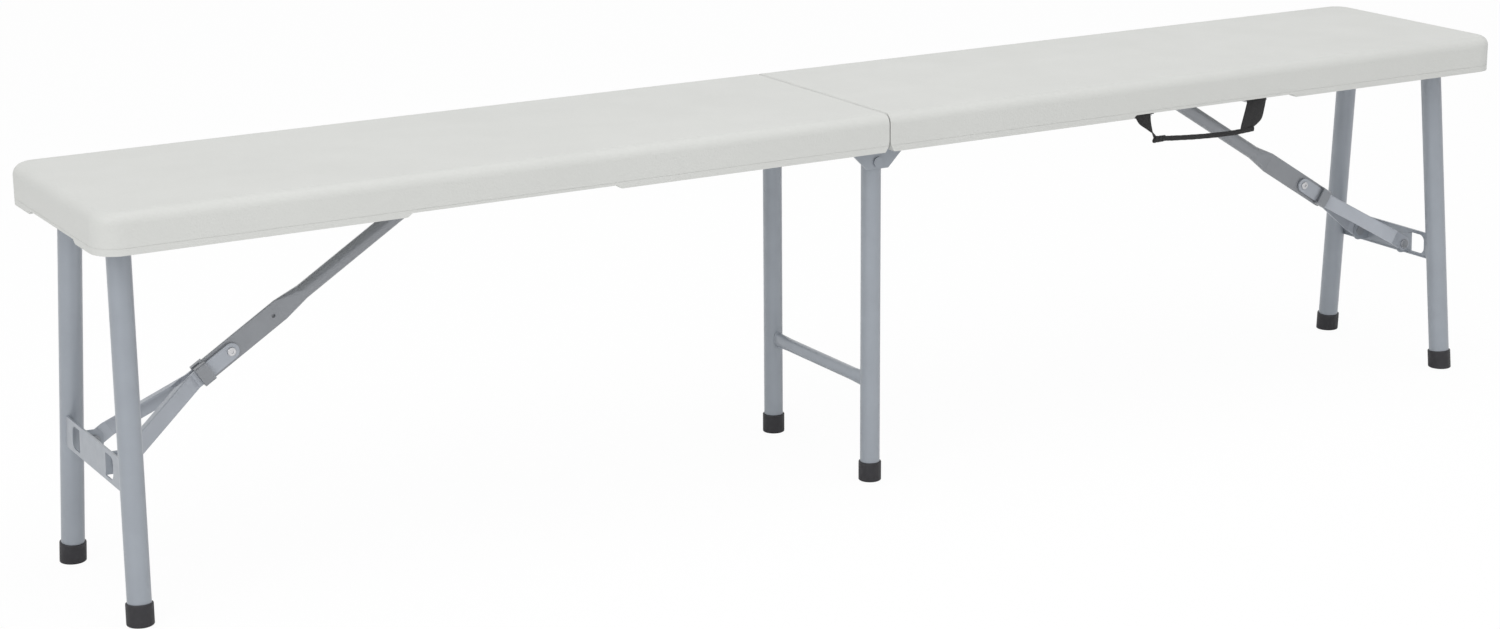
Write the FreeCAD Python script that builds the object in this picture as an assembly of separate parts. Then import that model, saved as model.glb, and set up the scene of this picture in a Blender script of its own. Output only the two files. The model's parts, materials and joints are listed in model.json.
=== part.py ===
# Folding bench: a moulded seat in two halves, steel legs, folding braces and a webbing handle.
# Millimetres. The origin is on the floor under the middle of the bench.
# +X runs along the bench, +Y to the rear and +Z up.
# Each piece is drawn on the right half, open for use, and the left half mirrors it.

import FreeCAD, Part
import math
import os

V = FreeCAD.Vector
X_AXIS = V(1, 0, 0)
Y_AXIS = V(0, 1, 0)
Z_AXIS = V(0, 0, 1)
MIDDLE = V(0, 0, 0)

# Clearances
RUNNING_FIT = 0.08
FIXED_FIT = 0.05
CURVE_GAP = 0.3
ARM_GAP = 0.7
EAR_CLEARANCE = 0.5
WASHER_ROOM = 1.8
FOOT_CLEARANCE = 1.0
RAIL_END_GAP = 0.2
# How far a cutting shape reaches past the face that it cuts
PAST = 2.0
# How near two places count as the same
NEAR = 0.01

# Seat
BENCH_LENGTH = 1829.0
SEAT_WIDTH = 298.0
SEAT_HEIGHT = 440.0
SKIRT_DEPTH = 43.0
DECK_THICKNESS = 12.0
SKIRT_THICKNESS = 12.0
PLASTIC_WALL = 2.5
SEAM_GAP = 1.6
SEAT_CORNER_R = 28.0
TOP_EDGE_R = 12.0
SEAM_EDGE_R = 3.0
POCKET_CORNER_R = 16.0
LEG_SLOT_CLEARANCE = 4.3
SIDE_NOTCH_START = 337.0
SIDE_NOTCH_LENGTH = 253.0
END_NOTCH_HALF = 78.0
NOTCH_DEPTH = 4.0
NOTCH_SLOPE = 8.0
PARTING_LINE_RISE = 7.0
PARTING_LINE_HEIGHT = 0.6
PARTING_LINE_DEPTH = 0.25
TACK_BASE_R = 9.0
TACK_TIP_R = 5.0
TACK_COLUMNS = 6
TACK_ROWS = 2
TACK_ROW_FROM_RAIL = 29.5
BLOW_HOLE_R = 3.0

# Hinges between the halves and the centre frame
HINGE_HALF_SPAN = 22.0
HINGE_DROP = 29.0
HINGE_PIN_R = 4.0
HINGE_HEAD_R = 6.0
HINGE_HEAD_THICKNESS = 2.2
WASHER_R = 8.0

# Centre frame
LEG_R = 12.7
LEG_WALL = 1.5
CENTRE_LEG_R = 11.4
CENTRE_LEG_BELOW_HINGE = 7.0
BRACKET_THICKNESS = 3.0
BRACKET_END_R = 14.0
BRACKET_SHOULDER = (32.0, 20.0)
BRACKET_FOOT = (14.0, 38.0)
BRACKET_RIVET_DROPS = (14.0, 30.0)
STRETCHER_HEIGHT = 119.0
STRETCHER_R = 7.6
STRETCHER_WALL = 1.2
STRETCHER_END_HALF = (5.2, 9.4)
STRETCHER_SQUASH = 26.0
STRETCHER_STEPS = 4
STRETCHER_UPRIGHT = 1.001

# Side rails
RAIL_WIDTH = 11.2
RAIL_HEIGHT = 29.0
RAIL_WALL = 1.5
RAIL_PAST_PIVOT = 15.0
RAIL_END_R = 5.0
RAIL_SCREWS_FROM_SEAM = (78.0, 240.0)
RAIL_SCREWS_FROM_PIVOT = (246.0, 71.0)
RAIL_SCREW_BELOW_DECK = 14.0

# End legs
PIVOT_FROM_END = 43.5
PIVOT_BELOW_DECK = 21.0
FOOT_FROM_END = 30.0
LEG_SPLAY = 34.2
PIVOT_TUBE_R = 11.0
PIVOT_TUBE_GAP = 1.5
PIVOT_PIN_R = 4.0
PIVOT_BUSH_LENGTH = 15.0
CAP_WALL = 1.8
CAP_HEIGHT = 23.0
CAP_FLOOR = 4.0
CAP_EDGE_R = 1.2

# Cross plate between the end legs, measured from the leg plane and down from the pivot
PLATE_FACE = 9.1
PLATE_THICKNESS = 1.5
PLATE_DROP = 253.4
PLATE_HEIGHT = 34.0
PLATE_FLANGE = 2.4
SLOT_FROM_LEG = 31.0
SLOT_WIDTH = 24.0
SLOT_HEIGHT = 25.0
SLOT_CORNER_R = 8.0
TAB_LENGTH = 24.0
ARM_FOOT_CLEARANCE = 4.7

# Brace
BRACE_TOP_FROM_PIVOT = 415.4
UPPER_ARM_R = 8.6
UPPER_ARM_WALL = 1.4
TAIL_THICKNESS = 3.2
TAIL_HALF_WIDTH = 12.8
TAIL_FLAT = 69.0
TAIL_FLARE = 29.0
TAIL_CORNER_R = 1.2
TAIL_END_R = 36.0
TAIL_HOLE_R = 4.0
TAIL_EYE_FROM_KNEE = 59.0
TAIL_EYE_R = 2.25
TAIL_EYE_SKIN = 0.6
ARM_STRAP_HALF = 9.0
ARM_STRAP_THICKNESS = 2.5
ARM_FORK_START = 49.0
ARM_FOOT_FLAT = 20.0
ARM_FLANGE_WIDTH = 7.0
ARM_FLANGE_START = 57.5
ARM_FLANGE_TAPER = 14.0
ARM_FLANGE_FROM_FOOT = 27.0
ARM_FLANGE_BEND_R = 1.6
KNEE_SHANK_R = 3.0
KNEE_HEAD_R = 4.8
KNEE_HEAD_THICKNESS = 1.8
KNEE_HEAD_EDGE_R = 0.9
KNEE_EYE_R = 2.0
KNEE_EYE_DEPTH = 1.2
ARM_RIVET_R = 3.0
ARM_RIVET_HEAD_R = 6.0
ARM_RIVET_HEAD_THICKNESS = 2.0
ARM_RIVET_DOME_R = 1.6
RING_START = 29.5
RING_LENGTH = 14.0
RING_SIDE_INNER = 8.0
RING_SIDE_WALL = 2.0
RING_LID = 2.2
RING_CORNER_R = 3.0
BRACE_PIN_R = 3.0
BRACE_PIN_HEAD_R = 5.5
EAR_THICKNESS = 2.0
EAR_HALF_LENGTH = 14.0
EAR_BELOW_PIN = 9.0
EAR_CORNER_R = 8.0
BRACE_BASE_HALF = (20.0, 30.0)
BRACE_BASE_SCREW = (12.0, 21.0)

# Fasteners
SCREW_R = 2.4
SCREW_HEAD_R = 4.5
SCREW_HEAD_THICKNESS = 2.2
SCREW_GRIP = 3.0

# Handle on the front edge of the right half
HANDLE_START = 349.0
HANDLE_STRAP_WIDTH = 25.0
HANDLE_SPAN = 200.0
HANDLE_STRAP_R = 1.0
HANDLE_OUT = 2.0
HANDLE_WRAP_DROP = 32.0
HANDLE_WRAP_START = 30.5
HANDLE_WRAP_LENGTH = 15.0
HANDLE_WRAP_R = 4.6
HANDLE_GRIP_R = 3.0
HANDLE_GRIP_SAG = 5.0
HANDLE_FOLD_WIDTH = 20.0
ANCHOR_THICKNESS = 2.0
ANCHOR_OVERHANG = 3.0
ANCHOR_SCREW_R = 2.0
ANCHOR_HEAD_R = 3.6
ANCHOR_HEAD_THICKNESS = 1.8

# Places that follow from the sizes above
HALF_LENGTH = BENCH_LENGTH / 2
SKIRT_BOTTOM = SEAT_HEIGHT - SKIRT_DEPTH
NOTCH_Z = SKIRT_BOTTOM + NOTCH_DEPTH
CEILING = SEAT_HEIGHT - DECK_THICKNESS
SKIRT_INNER_Y = SEAT_WIDTH / 2 - SKIRT_THICKNESS
SEAM_WALL_INNER = SEAM_GAP / 2 + SKIRT_THICKNESS
END_WALL_INNER = HALF_LENGTH - SKIRT_THICKNESS
HINGE_Z = SEAT_HEIGHT - HINGE_DROP
RAIL_OUTER_Y = SKIRT_INNER_Y - CURVE_GAP
RAIL_INNER_Y = RAIL_OUTER_Y - RAIL_WIDTH
RAIL_START = SEAM_WALL_INNER + RAIL_END_GAP
RAIL_BOTTOM = CEILING - RAIL_HEIGHT
RAIL_TOP = CEILING
BRACKET_OUTER_Y = RAIL_INNER_Y - WASHER_ROOM
BRACKET_INNER_Y = BRACKET_OUTER_Y - BRACKET_THICKNESS
CENTRE_LEG_Y = BRACKET_INNER_Y - CENTRE_LEG_R
OUTER_TACK_ROW_Y = RAIL_INNER_Y - TACK_ROW_FROM_RAIL
PIVOT = V(HALF_LENGTH - PIVOT_FROM_END, 0, CEILING - PIVOT_BELOW_DECK)
RAIL_END = PIVOT.x + RAIL_PAST_PIVOT
PIN_END_Y = RAIL_OUTER_Y - CURVE_GAP
FOOT_Y = RAIL_INNER_Y - FOOT_CLEARANCE - CAP_WALL - LEG_R
LEG_TOP_Y = FOOT_Y - LEG_SPLAY
LEG_REACH = math.hypot(HALF_LENGTH - FOOT_FROM_END - PIVOT.x, PIVOT.z)
LEG_LEAN = math.degrees(math.atan2(HALF_LENGTH - FOOT_FROM_END - PIVOT.x, PIVOT.z))
PLATE_INNER = PLATE_FACE - PLATE_THICKNESS
PLATE_LEG_Y = LEG_TOP_Y + LEG_SPLAY * PLATE_DROP / LEG_REACH
SLOT_OUTER_Y = PLATE_LEG_Y - SLOT_FROM_LEG
SLOT_INNER_Y = SLOT_OUTER_Y - SLOT_WIDTH
TAB_OUTER_Y = SLOT_INNER_Y
TAB_INNER_Y = TAB_OUTER_Y - PLATE_THICKNESS
ARM_FOOT_OFFSET = PLATE_FACE - PLATE_FLANGE - ARM_STRAP_HALF - ARM_FOOT_CLEARANCE

# The brace runs straight from its top pin to its foot pin, and its knee lies between them.
# Folded, the leg has turned by LEG_FOLD and both arms lie along the deck, one over the other.
LEG_FOLD = 90.0 + LEG_LEAN
BRACE_TOP = V(PIVOT.x - BRACE_TOP_FROM_PIVOT, 0, PIVOT.z - ARM_FOOT_OFFSET)


def turned(point, centre, degrees):
    """The point after a turn about an axis along +Y through the centre."""
    return FreeCAD.Rotation(Y_AXIS, degrees).multVec(point - centre) + centre


BRACE_FOOT = turned(PIVOT + V(ARM_FOOT_OFFSET, 0, -PLATE_DROP), PIVOT, -LEG_LEAN)
BRACE_FOOT_FOLDED = turned(BRACE_FOOT, PIVOT, LEG_FOLD)
BRACE_OPEN_SPAN = (BRACE_FOOT - BRACE_TOP).Length
BRACE_FOLDED_SPAN = (BRACE_FOOT_FOLDED - BRACE_TOP).Length
UPPER_ARM = (BRACE_OPEN_SPAN + BRACE_FOLDED_SPAN) / 2
LOWER_ARM = (BRACE_OPEN_SPAN - BRACE_FOLDED_SPAN) / 2
BRACE_ANGLE = math.degrees(math.atan2(BRACE_TOP.z - BRACE_FOOT.z, BRACE_FOOT.x - BRACE_TOP.x))
TAIL_HALF = TAIL_THICKNESS / 2
STRAP_INNER_Y = TAIL_HALF + ARM_GAP
FOOT_STRAP_Y = TAB_OUTER_Y + CURVE_GAP
EAR_INNER_Y = UPPER_ARM_R + EAR_CLEARANCE


def box(x_range, y_range, z_range):
    corner = V(x_range[0], y_range[0], z_range[0])
    return Part.makeBox(x_range[1] - x_range[0], y_range[1] - y_range[0], z_range[1] - z_range[0], corner)


def rod(start, end, radius):
    return Part.makeCylinder(radius, (end - start).Length, start, end - start)


def tube(start, end, radius, wall):
    return rod(start, end, radius).cut(rod(start, end, radius - wall))


def cross_rod(x, z, y_range, radius):
    """A rod along +Y."""
    return rod(V(x, y_range[0], z), V(x, y_range[1], z), radius)


def plate_y(points, y_range):
    """A flat plate: an outline in X and Z, as thick as the range in Y."""
    corners = [V(x, y_range[0], z) for x, z in points]
    outline = Part.makePolygon(corners + corners[:1])
    return Part.Face(outline).extrude(V(0, y_range[1] - y_range[0], 0))


def plate_x(points, x_range):
    """A flat plate: an outline in Y and Z, as thick as the range in X."""
    corners = [V(x_range[0], y, z) for y, z in points]
    outline = Part.makePolygon(corners + corners[:1])
    return Part.Face(outline).extrude(V(x_range[1] - x_range[0], 0, 0))


def front_of(shape):
    """The same shape on the front side."""
    return shape.mirror(MIDDLE, Y_AXIS)


def left_of(shape):
    """The same shape on the left half."""
    return shape.mirror(MIDDLE, X_AXIS)


def both_sides(shape):
    return [shape, front_of(shape)]


def bored(shape, tools):
    for tool in tools:
        shape = shape.cut(tool)
    return shape


# Seat

def plan_outline(x_range, half_width, corner, z):
    """The seat seen from above: square at the seam, round at the outer corners."""
    x_seam, x_end = x_range
    bend = corner * math.sqrt(0.5)
    centre_x = x_end - corner
    centre_y = half_width - corner
    front_arc = Part.Arc(V(centre_x, -half_width, z),
                         V(centre_x + bend, -centre_y - bend, z),
                         V(x_end, -centre_y, z))
    rear_arc = Part.Arc(V(x_end, centre_y, z),
                        V(centre_x + bend, centre_y + bend, z),
                        V(centre_x, half_width, z))
    edges = [
        Part.makeLine(V(x_seam, -half_width, z), V(centre_x, -half_width, z)),
        front_arc.toShape(),
        Part.makeLine(V(x_end, -centre_y, z), V(x_end, centre_y, z)),
        rear_arc.toShape(),
        Part.makeLine(V(centre_x, half_width, z), V(x_seam, half_width, z)),
        Part.makeLine(V(x_seam, half_width, z), V(x_seam, -half_width, z)),
    ]
    return Part.Face(Part.Wire(edges))


def seat_block(inset):
    """The outside of the seat half, drawn in by the inset, with its rounded edges."""
    x_seam = SEAM_GAP / 2 + inset
    half_width = SEAT_WIDTH / 2 - inset
    bottom = SKIRT_BOTTOM + inset
    top = SEAT_HEIGHT - inset
    plan = plan_outline((x_seam, HALF_LENGTH - inset), half_width, SEAT_CORNER_R - inset, bottom)
    block = plan.extrude(V(0, 0, top - bottom))
    rim = [edge for edge in block.Edges
           if edge.BoundBox.ZMin > top - NEAR and edge.BoundBox.XMax > x_seam + NEAR]
    block = block.makeFillet(TOP_EDGE_R - inset, rim)
    return block.cut(seam_top_corner(x_seam, top, inset)).cut(seam_bottom_corner(x_seam, bottom))


def seam_top_corner(x_seam, top, inset):
    """What the rounding of the seam's top edge takes away."""
    radius = SEAM_EDGE_R - inset
    across = (-SEAT_WIDTH, SEAT_WIDTH)
    corner = box((x_seam - PAST, x_seam + radius), across, (top - radius, top + PAST))
    return corner.cut(cross_rod(x_seam + radius, top - radius, across, radius))


def seam_bottom_corner(x_seam, bottom):
    """What is cut off under the seam, round the hinge, so that the halves can turn past each other."""
    across = (-SEAT_WIDTH, SEAT_WIDTH)
    corner = box((x_seam - PAST, HINGE_HALF_SPAN), across, (bottom - PAST, HINGE_Z))
    return corner.cut(cross_rod(HINGE_HALF_SPAN, HINGE_Z, across, HINGE_HALF_SPAN - x_seam))


def seat_pocket(inset):
    """The open underside, let out by the inset."""
    x_range = (SEAM_WALL_INNER - inset, END_WALL_INNER + inset)
    half_width = SKIRT_INNER_Y + inset
    z_range = (SKIRT_BOTTOM - PAST, CEILING + inset)
    pocket = box(x_range, (-half_width, half_width), z_range)
    corners = [edge for edge in pocket.Edges if edge.BoundBox.ZLength > DECK_THICKNESS]
    return pocket.makeFillet(POCKET_CORNER_R + inset, corners)


def leg_slot(inset):
    """The opening in the seam wall that the centre leg and its bracket pass through."""
    y_range = (CENTRE_LEG_Y - CENTRE_LEG_R - LEG_SLOT_CLEARANCE - inset, SKIRT_INNER_Y + inset)
    x_range = (-PAST, SEAM_WALL_INNER + POCKET_CORNER_R + PAST)
    return box(x_range, y_range, (SKIRT_BOTTOM - PAST, CEILING + inset))


def notch_outline(start, length, inset):
    """A shallow notch in the skirt's lower edge, with sloped ends."""
    floor = SKIRT_BOTTOM - PAST
    top = NOTCH_Z + inset
    end = start + length
    return [(start - inset, floor),
            (start + NOTCH_SLOPE - inset, top),
            (end - NOTCH_SLOPE + inset, top),
            (end + inset, floor)]


def skirt_notches(inset):
    side = plate_y(notch_outline(SIDE_NOTCH_START, SIDE_NOTCH_LENGTH, inset), (-SEAT_WIDTH, SEAT_WIDTH))
    end = plate_x(notch_outline(-END_NOTCH_HALF, 2 * END_NOTCH_HALF, inset),
                  (END_WALL_INNER - PAST, HALF_LENGTH + PAST))
    return [side, end]


def seat_form(inset):
    """The whole moulded form, or with an inset the hollow between its skins."""
    openings = [seat_pocket(inset), leg_slot(inset), front_of(leg_slot(inset))]
    return bored(seat_block(inset), openings + skirt_notches(inset))


def tack_rows():
    return [OUTER_TACK_ROW_Y * (row + 1) / TACK_ROWS for row in range(TACK_ROWS)]


def tack_places():
    """The dimples that tie the lower skin to the upper one, in even rows under the deck."""
    first = SEAM_WALL_INNER + POCKET_CORNER_R + TACK_BASE_R * 2
    last = END_WALL_INNER - POCKET_CORNER_R - TACK_BASE_R * 2
    step = (last - first) / (TACK_COLUMNS - 1)
    return [V(first + step * column, side * row, CEILING)
            for column in range(TACK_COLUMNS)
            for row in tack_rows()
            for side in (-1, 1)]


def tack_cone(place, wall):
    """A dimple's hollow, or with a wall its outside, which reaches the upper skin."""
    height = DECK_THICKNESS - 2 * PLASTIC_WALL + wall
    return Part.makeCone(TACK_BASE_R + wall, TACK_TIP_R + wall, height, place)


def parting_line():
    """The groove that the mould's parting leaves round the outer faces."""
    z_low = SKIRT_BOTTOM + PARTING_LINE_RISE
    seam = -PAST
    outer = plan_outline((seam, HALF_LENGTH + PAST), SEAT_WIDTH / 2 + PAST, SEAT_CORNER_R + PAST, z_low)
    inner = plan_outline((seam, HALF_LENGTH - PARTING_LINE_DEPTH), SEAT_WIDTH / 2 - PARTING_LINE_DEPTH,
                         SEAT_CORNER_R - PARTING_LINE_DEPTH, z_low)
    return outer.cut(inner).extrude(V(0, 0, PARTING_LINE_HEIGHT))


def blow_hole():
    between_tacks = sum(tack_rows()) / TACK_ROWS
    place = V(END_WALL_INNER - 2 * POCKET_CORNER_R, between_tacks, CEILING - PAST)
    return Part.makeCylinder(BLOW_HOLE_R, PAST + PLASTIC_WALL * 2, place)


def seat_half():
    hollow = bored(seat_form(PLASTIC_WALL), [tack_cone(place, PLASTIC_WALL) for place in tack_places()])
    seat = bored(seat_form(0), [tack_cone(place, 0) for place in tack_places()])
    seat = seat.cut(hollow).cut(parting_line()).cut(blow_hole())
    return bored(seat, screw_holes())


# Screws under each half

def rail_screw_places():
    along = list(RAIL_SCREWS_FROM_SEAM) + [PIVOT.x - back for back in RAIL_SCREWS_FROM_PIVOT]
    return [V(x, side, CEILING - RAIL_SCREW_BELOW_DECK) for x in along for side in (-1, 1)]


def rail_screw(place, radius):
    """A screw through the rail's two walls into the skirt; place.y is its side."""
    outer = SKIRT_INNER_Y + PLASTIC_WALL + SCREW_GRIP
    return rod(V(place.x, place.y * RAIL_INNER_Y, place.z), V(place.x, place.y * outer, place.z), radius)


def rail_screw_head(place):
    head_y = RAIL_INNER_Y - SCREW_HEAD_THICKNESS
    start = V(place.x, place.y * head_y, place.z)
    return rod(start, V(place.x, place.y * RAIL_INNER_Y, place.z), SCREW_HEAD_R)


def base_screw_places():
    dx, dy = BRACE_BASE_SCREW
    return [V(BRACE_TOP.x + i * dx, j * dy, CEILING) for i in (-1, 1) for j in (-1, 1)]


def base_screw(place, radius):
    """A screw up through the brace bracket's base into the deck."""
    return rod(place - V(0, 0, EAR_THICKNESS), place + V(0, 0, PLASTIC_WALL + SCREW_GRIP), radius)


def base_screw_head(place):
    top = place - V(0, 0, EAR_THICKNESS)
    return rod(top - V(0, 0, SCREW_HEAD_THICKNESS), top, SCREW_HEAD_R)


def screw_holes():
    """Every screw hole, as wide as the screw and its fit."""
    radius = SCREW_R + FIXED_FIT
    rail = [rail_screw(place, radius) for place in rail_screw_places()]
    base = [base_screw(place, radius) for place in base_screw_places()]
    return rail + base


def frame_screws():
    rail = [rail_screw(place, SCREW_R).fuse(rail_screw_head(place)).removeSplitter()
            for place in rail_screw_places()]
    base = [base_screw(place, SCREW_R).fuse(base_screw_head(place)).removeSplitter()
            for place in base_screw_places()]
    return rail + base


# Rails, brackets and pins under each half

def side_rail():
    """The rear rail: a box tube inside the skirt, from the hinge to past the leg pivot."""
    x_range = (RAIL_START, RAIL_END)
    outside = box(x_range, (RAIL_INNER_Y, RAIL_OUTER_Y), (RAIL_BOTTOM, RAIL_TOP))
    ends = [edge for edge in outside.Edges if edge.BoundBox.YLength > RAIL_WIDTH - NEAR]
    outside = outside.makeFillet(RAIL_END_R, ends)
    inside = box((RAIL_START - PAST, RAIL_END + PAST),
                 (RAIL_INNER_Y + RAIL_WALL, RAIL_OUTER_Y - RAIL_WALL),
                 (RAIL_BOTTOM + RAIL_WALL, RAIL_TOP - RAIL_WALL))
    across = (RAIL_INNER_Y - PAST, RAIL_OUTER_Y + PAST)
    hinge_bore = cross_rod(HINGE_HALF_SPAN, HINGE_Z, across, HINGE_PIN_R + RUNNING_FIT)
    pivot_bore = cross_rod(PIVOT.x, PIVOT.z, across, PIVOT_PIN_R + FIXED_FIT)
    return bored(outside.cut(inside), [hinge_bore, pivot_bore] + screw_holes())


def leg_pivot_pin():
    """The rear pin of the end legs: through the rail into the pivot tube's bush."""
    inner = RAIL_INNER_Y - PIVOT_TUBE_GAP - PIVOT_BUSH_LENGTH + PAST
    return cross_rod(PIVOT.x, PIVOT.z, (inner, PIN_END_Y), PIVOT_PIN_R)


def brace_bracket():
    """The U bracket under the deck that carries the brace's top pin."""
    half_x, half_y = BRACE_BASE_HALF
    base_z = CEILING - EAR_THICKNESS
    base = box((BRACE_TOP.x - half_x, BRACE_TOP.x + half_x), (-half_y, half_y), (base_z, CEILING))
    ear_box = box((BRACE_TOP.x - EAR_HALF_LENGTH, BRACE_TOP.x + EAR_HALF_LENGTH),
                  (EAR_INNER_Y, EAR_INNER_Y + EAR_THICKNESS), (BRACE_TOP.z - EAR_BELOW_PIN, base_z))
    lower_corners = [edge for edge in ear_box.Edges
                     if edge.BoundBox.YLength > EAR_THICKNESS - NEAR and edge.BoundBox.ZMax < BRACE_TOP.z]
    ear = ear_box.makeFillet(EAR_CORNER_R, lower_corners)
    bracket = base.fuse(both_sides(ear)).removeSplitter()
    pin_hole = cross_rod(BRACE_TOP.x, BRACE_TOP.z, (-half_y, half_y), BRACE_PIN_R + FIXED_FIT)
    return bored(bracket, [pin_hole] + [base_screw(place, SCREW_R + FIXED_FIT) for place in base_screw_places()])


def brace_top_pin():
    ear_outer = EAR_INNER_Y + EAR_THICKNESS
    shank = cross_rod(BRACE_TOP.x, BRACE_TOP.z, (-ear_outer, ear_outer), BRACE_PIN_R)
    head = cross_rod(BRACE_TOP.x, BRACE_TOP.z, (ear_outer, ear_outer + EAR_THICKNESS), BRACE_PIN_HEAD_R)
    return shank.fuse(both_sides(head)).removeSplitter()


# Centre frame

def centre_leg():
    """The rear centre leg, from inside its foot cap to just under the deck."""
    top = HINGE_Z - CENTRE_LEG_BELOW_HINGE
    leg = tube(V(0, CENTRE_LEG_Y, CAP_FLOOR), V(0, CENTRE_LEG_Y, top), CENTRE_LEG_R, LEG_WALL)
    return bored(leg, [bracket_rivet(z, ARM_RIVET_R + FIXED_FIT) for z in bracket_rivet_heights()])


def bracket_rivet_heights():
    return [HINGE_Z - drop for drop in BRACKET_RIVET_DROPS]


def bracket_rivet(z, radius):
    """The shank that ties a bracket to the leg's outer wall."""
    return cross_rod(0, z, (BRACKET_INNER_Y - LEG_WALL - PAST, BRACKET_OUTER_Y), radius)


def bracket_rivets():
    head_end = BRACKET_OUTER_Y + ARM_RIVET_HEAD_THICKNESS
    rivets = []
    for z in bracket_rivet_heights():
        rivet = bracket_rivet(z, ARM_RIVET_R).fuse(cross_rod(0, z, (BRACKET_OUTER_Y, head_end), ARM_RIVET_HEAD_R))
        rivets += both_sides(rivet.removeSplitter())
    return rivets


def centre_bracket():
    """The rear hinge plate: two round ears joined by a plate that narrows down the leg."""
    y_range = (BRACKET_INNER_Y, BRACKET_OUTER_Y)
    shoulder_x, shoulder_drop = BRACKET_SHOULDER
    foot_x, foot_drop = BRACKET_FOOT
    edge_x = HINGE_HALF_SPAN + BRACKET_END_R
    right_side = [(edge_x, HINGE_Z), (shoulder_x, HINGE_Z - shoulder_drop), (foot_x, HINGE_Z - foot_drop)]
    left_side = [(-x, z) for x, z in reversed(right_side)]
    plate = plate_y(right_side + left_side, y_range)
    crown = box((-HINGE_HALF_SPAN, HINGE_HALF_SPAN), y_range, (HINGE_Z - PAST, HINGE_Z + BRACKET_END_R))
    ears = [cross_rod(side * HINGE_HALF_SPAN, HINGE_Z, y_range, BRACKET_END_R) for side in (-1, 1)]
    plate = plate.fuse([crown] + ears).removeSplitter()
    pins = [cross_rod(side * HINGE_HALF_SPAN, HINGE_Z, y_range, HINGE_PIN_R + FIXED_FIT) for side in (-1, 1)]
    rivets = [bracket_rivet(z, ARM_RIVET_R + FIXED_FIT) for z in bracket_rivet_heights()]
    return bored(plate, pins + rivets)


def hinge_pin():
    """The right rear hinge pin, with its head inside the bracket."""
    shank = cross_rod(HINGE_HALF_SPAN, HINGE_Z, (BRACKET_INNER_Y, PIN_END_Y), HINGE_PIN_R)
    head = cross_rod(HINGE_HALF_SPAN, HINGE_Z,
                     (BRACKET_INNER_Y - HINGE_HEAD_THICKNESS, BRACKET_INNER_Y), HINGE_HEAD_R)
    return shank.fuse(head).removeSplitter()


def hinge_washer():
    """The right rear spacer washer, between the bracket and the rail."""
    y_range = (BRACKET_OUTER_Y, RAIL_INNER_Y - CURVE_GAP / 2)
    washer = cross_rod(HINGE_HALF_SPAN, HINGE_Z, y_range, WASHER_R)
    return washer.cut(cross_rod(HINGE_HALF_SPAN, HINGE_Z, y_range, HINGE_PIN_R + FIXED_FIT))


def four_corners(shape):
    return [copy for half in (shape, left_of(shape)) for copy in both_sides(half)]


def oval(y, half_x, half_z):
    """An upright oval across the stretcher."""
    centre = V(0, y, STRETCHER_HEIGHT)
    curve = Part.Ellipse(centre + V(0, 0, half_z), centre + V(half_x, 0, 0), centre)
    return Part.Wire(curve.toShape())


def stretcher_body(inset):
    """A round tube that is pressed to an upright oval where it meets each leg."""
    leg_side = CENTRE_LEG_Y - CENTRE_LEG_R
    round_until = leg_side - STRETCHER_SQUASH
    radius = STRETCHER_R - inset
    end_x, end_z = [size - inset for size in STRETCHER_END_HALF]
    half = []
    for step in range(STRETCHER_STEPS + 1):
        blend = step / STRETCHER_STEPS
        half.append((round_until + STRETCHER_SQUASH * blend, blend))
    stations = [(-y, blend) for y, blend in reversed(half)] + half
    sections = [oval(y, radius + (end_x - radius) * blend, radius * STRETCHER_UPRIGHT + (end_z - radius) * blend)
                for y, blend in stations]
    return Part.makeLoft(sections, True, True)


def centre_stretcher():
    """The tube between the centre legs, welded to their inner sides."""
    return stretcher_body(0).cut(stretcher_body(STRETCHER_WALL))


def foot_cap(foot, upward, leg_radius):
    """A moulded cap on the end of a leg, cut flat where it meets the floor."""
    upward = V(upward.x, upward.y, upward.z).normalize()
    below = foot - upward * CAP_FLOOR * 2
    outer = leg_radius + CAP_WALL
    cap = rod(below, foot + upward * CAP_HEIGHT, outer)
    span = 2 * BENCH_LENGTH
    floor_cut = box((-span, span), (-span, span), (-span, 0))
    cap = cap.cut(floor_cut)
    rims = [edge for edge in cap.Edges if edge.BoundBox.ZMax < NEAR or edge.BoundBox.ZMin > CAP_HEIGHT / 2]
    cap = cap.makeFillet(CAP_EDGE_R, rims)
    bore = rod(foot + upward * CAP_FLOOR, foot + upward * (CAP_HEIGHT + PAST), leg_radius + FIXED_FIT)
    return cap.cut(bore)


def centre_foot_caps():
    return both_sides(foot_cap(V(0, CENTRE_LEG_Y, 0), Z_AXIS, CENTRE_LEG_R))


# End legs: drawn upright under the pivot, then leaned out by LEG_LEAN

def leaned(shape):
    return shape.rotated(PIVOT, Y_AXIS, -LEG_LEAN)


def leg_line(y_side):
    """The foot and the top of an end leg's centre line, before it is leaned."""
    foot = V(PIVOT.x, y_side * FOOT_Y, PIVOT.z - LEG_REACH)
    top = V(PIVOT.x, y_side * LEG_TOP_Y, PIVOT.z)
    return foot, top


def leg_direction(y_side):
    foot, top = leg_line(y_side)
    return (top - foot).normalize()


def leg_rod(y_side, radius, from_foot, past_top):
    foot, top = leg_line(y_side)
    along = leg_direction(y_side)
    return rod(foot + along * from_foot, top + along * past_top, radius)


def end_leg(y_side):
    leg = leg_rod(y_side, LEG_R, CAP_FLOOR, LEG_R).cut(leg_rod(y_side, LEG_R - LEG_WALL, 0, 2 * LEG_R))
    above = box((PIVOT.x - 2 * LEG_R, PIVOT.x + 2 * LEG_R), (-SEAT_WIDTH, SEAT_WIDTH),
                (PIVOT.z, PIVOT.z + 3 * LEG_R))
    saddle = cross_rod(PIVOT.x, PIVOT.z, (-SEAT_WIDTH, SEAT_WIDTH), PIVOT_TUBE_R + FIXED_FIT)
    return leaned(leg.cut(above).cut(saddle))


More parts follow.
